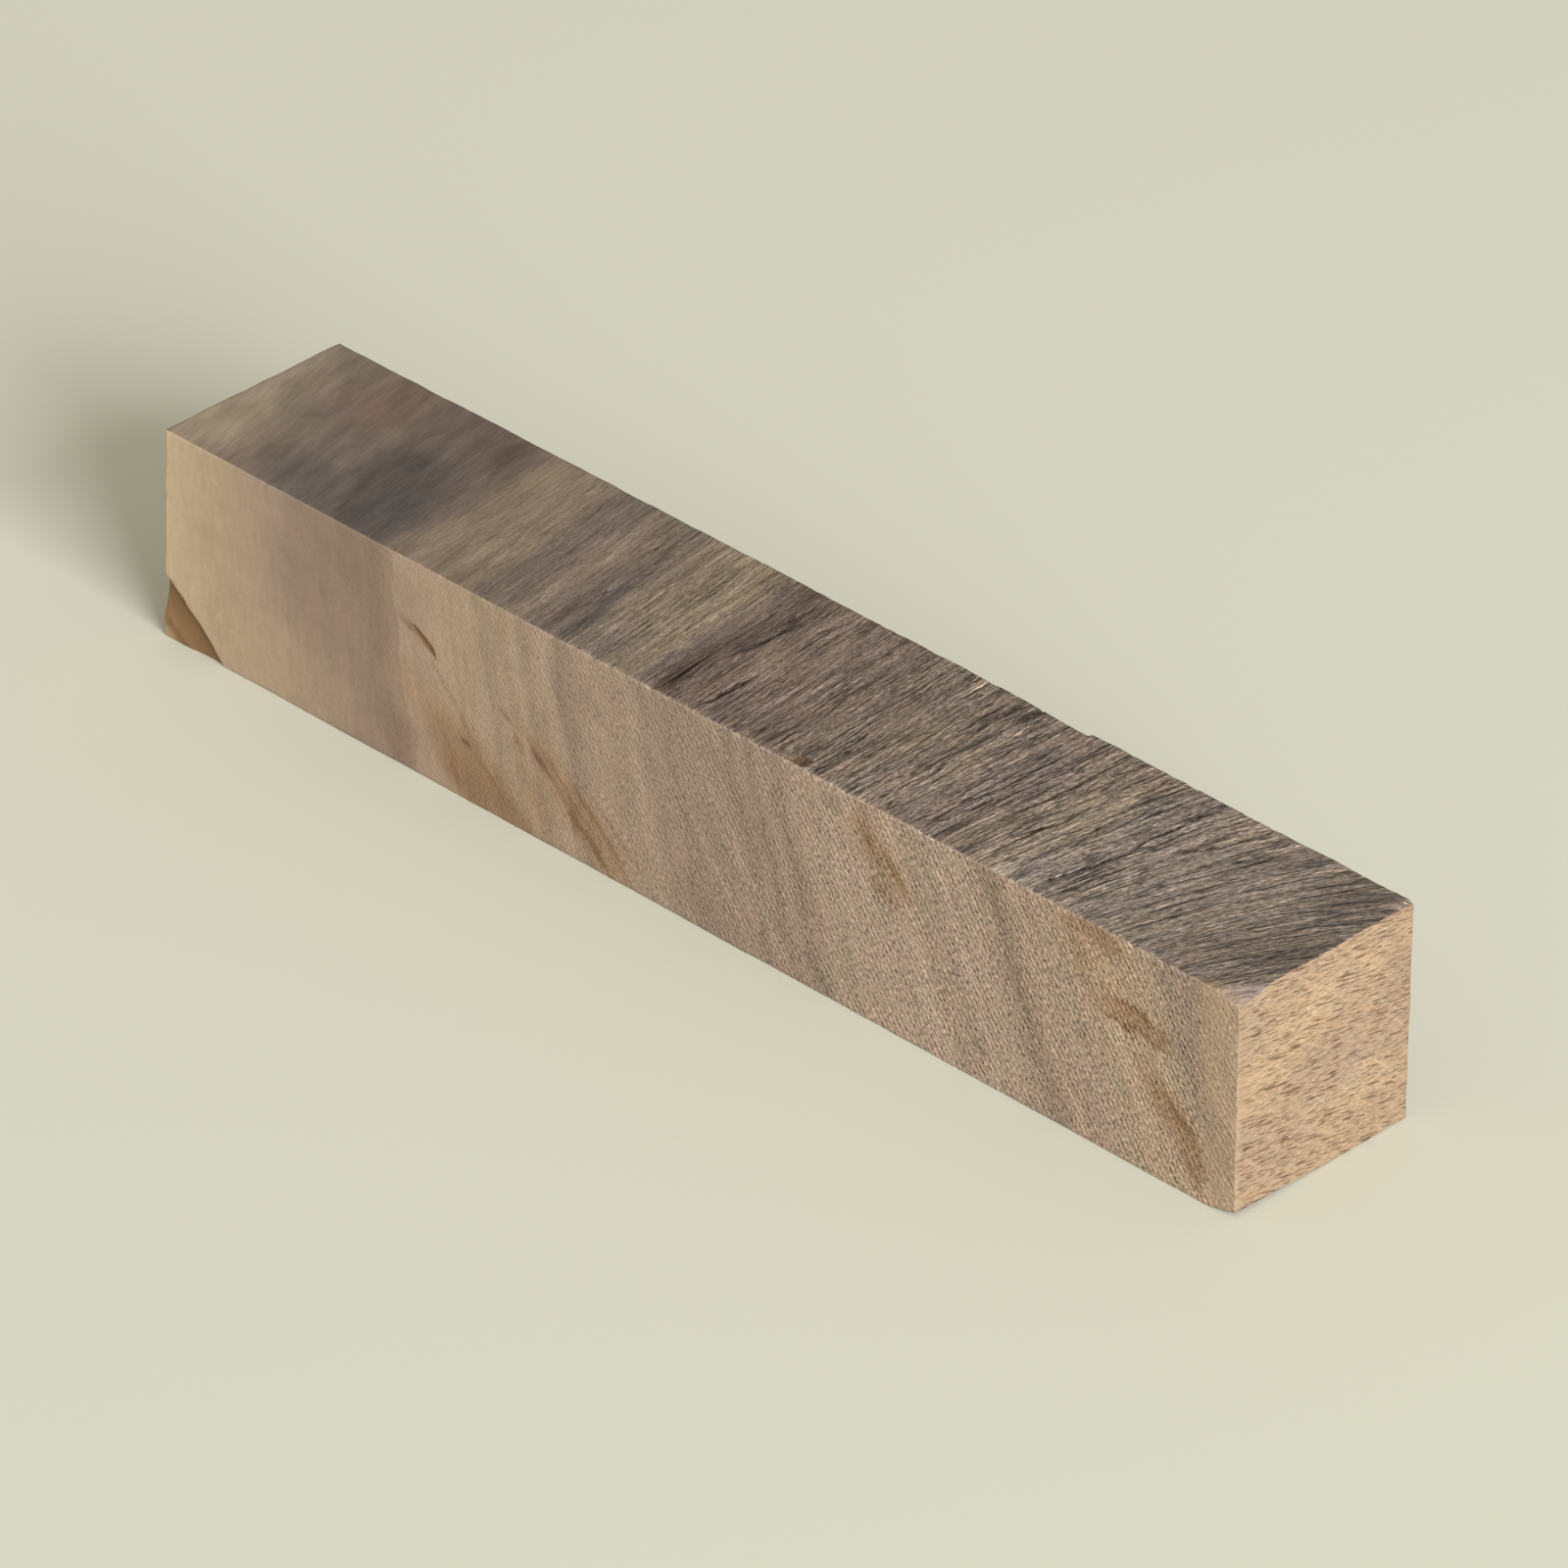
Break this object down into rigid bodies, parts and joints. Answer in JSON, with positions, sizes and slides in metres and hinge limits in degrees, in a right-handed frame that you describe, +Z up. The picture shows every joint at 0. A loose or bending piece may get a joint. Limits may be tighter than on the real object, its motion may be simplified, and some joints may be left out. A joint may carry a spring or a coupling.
{
  "type": "wood turning blank",
  "caption": "Short square stick of raw walnut, sawn on all faces and cut across the grain, with worn corners and a small bark pocket.",
  "frame": {"origin": "middle of the underside, on the surface that the blank lies on", "axes": "+X along the length from the far end to the near end, -Y out of the front long face, +Z up"},
  "size_m": [0.12, 0.02, 0.02],
  "materials": {
    "walnut": "raw sawn, unfinished"
  },
  "bodies": {
    "root": {"turning_blank": "walnut"}
  },
  "joints": []
}
